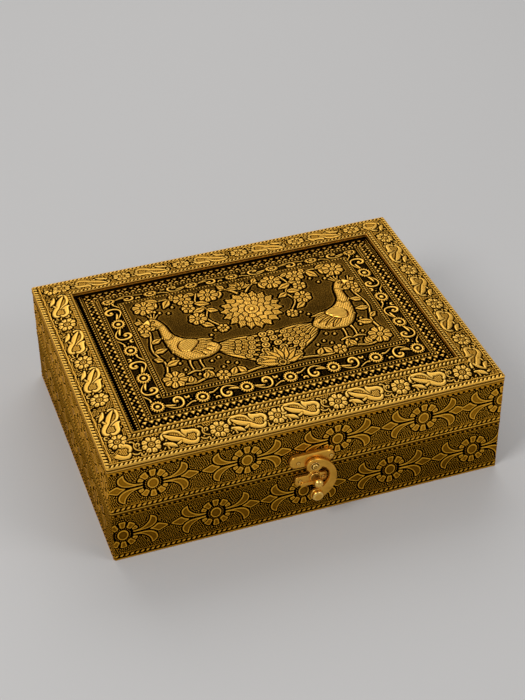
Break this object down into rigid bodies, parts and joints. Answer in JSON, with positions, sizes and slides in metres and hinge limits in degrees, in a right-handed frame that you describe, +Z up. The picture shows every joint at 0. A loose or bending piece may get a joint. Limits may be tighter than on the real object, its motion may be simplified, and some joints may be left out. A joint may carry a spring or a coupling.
{
  "type": "lidded compartment box",
  "caption": "Flat box clad in embossed antique-gold sheet, with a hinged recessed lid, a swing-hook latch and velvet-lined cells for dry fruit.",
  "frame": {"origin": "middle of the box's underside, on the plane that it rests on", "axes": "+X along the front to the right as seen from the front, +Y from the front to the hinges, +Z up"},
  "size_m": [0.254, 0.2102, 0.0779],
  "materials": {
    "embossed_sheet": "pressed sheet, antique gold on the raised parts and a near-black patina in the hollows",
    "plain_sheet": "smooth folded sheet, antique gold",
    "latch_brass": "satin antique gold casting",
    "hinge_brass": "plain drawn brass",
    "fibreboard": "bare fibreboard",
    "velvet": "maroon velvet pile",
    "felt": "black felt"
  },
  "bodies": {
    "base": {"base_front_board": "fibreboard", "base_back_board": "fibreboard", "base_left_board": "fibreboard", "base_right_board": "fibreboard", "base_floor_board": "fibreboard", "base_front_sheet": "embossed_sheet", "base_back_sheet": "embossed_sheet", "base_left_sheet": "embossed_sheet", "base_right_sheet": "embossed_sheet", "base_rim_strip": "plain_sheet", "base_felt": "felt", "floor_lining": "velvet", "base_front_lining": "velvet", "base_back_lining": "velvet", "base_left_lining": "velvet", "base_right_lining": "velvet", "long_divider": "velvet", "cross_divider": "velvet", "catch_plate": "latch_brass", "catch_post": "latch_brass", "catch_tacks": "latch_brass", "hinge_left_base_leaf": "hinge_brass", "hinge_right_base_leaf": "hinge_brass", "hinge_left_pin": "hinge_brass", "hinge_right_pin": "hinge_brass"},
    "lid": {"lid_front_board": "fibreboard", "lid_back_board": "fibreboard", "lid_left_board": "fibreboard", "lid_right_board": "fibreboard", "lid_top_board": "fibreboard", "panel_board": "fibreboard", "frame_front_moulding": "fibreboard", "frame_back_moulding": "fibreboard", "frame_left_moulding": "fibreboard", "frame_right_moulding": "fibreboard", "frame_front_sheet": "embossed_sheet", "frame_back_sheet": "embossed_sheet", "frame_left_sheet": "embossed_sheet", "frame_right_sheet": "embossed_sheet", "panel_sheet": "embossed_sheet", "lid_front_sheet": "embossed_sheet", "lid_back_sheet": "embossed_sheet", "lid_left_sheet": "embossed_sheet", "lid_right_sheet": "embossed_sheet", "lid_rim_strip": "plain_sheet", "lid_top_lining": "velvet", "lid_front_lining": "velvet", "lid_back_lining": "velvet", "lid_left_lining": "velvet", "lid_right_lining": "velvet", "hinge_left_lid_leaf": "hinge_brass", "hinge_right_lid_leaf": "hinge_brass", "latch_plate": "latch_brass", "latch_rivet": "latch_brass", "latch_tacks": "latch_brass"},
    "hook": {"latch_hook": "latch_brass", "hook_knob": "latch_brass"}
  },
  "joints": [
    {"name": "lid_hinge", "type": "hinge", "parent": "base", "child": "lid", "pos_m": [0, 0.0989, 0.03715], "axis": [-1, 0, 0], "range_deg": [0, 100]},
    {"name": "hook_swing", "type": "hinge", "parent": "lid", "child": "hook", "pos_m": [-0.0006, -0.1016, 0.0432], "axis": [0, -1, 0], "range_deg": [-28, 150]}
  ]
}
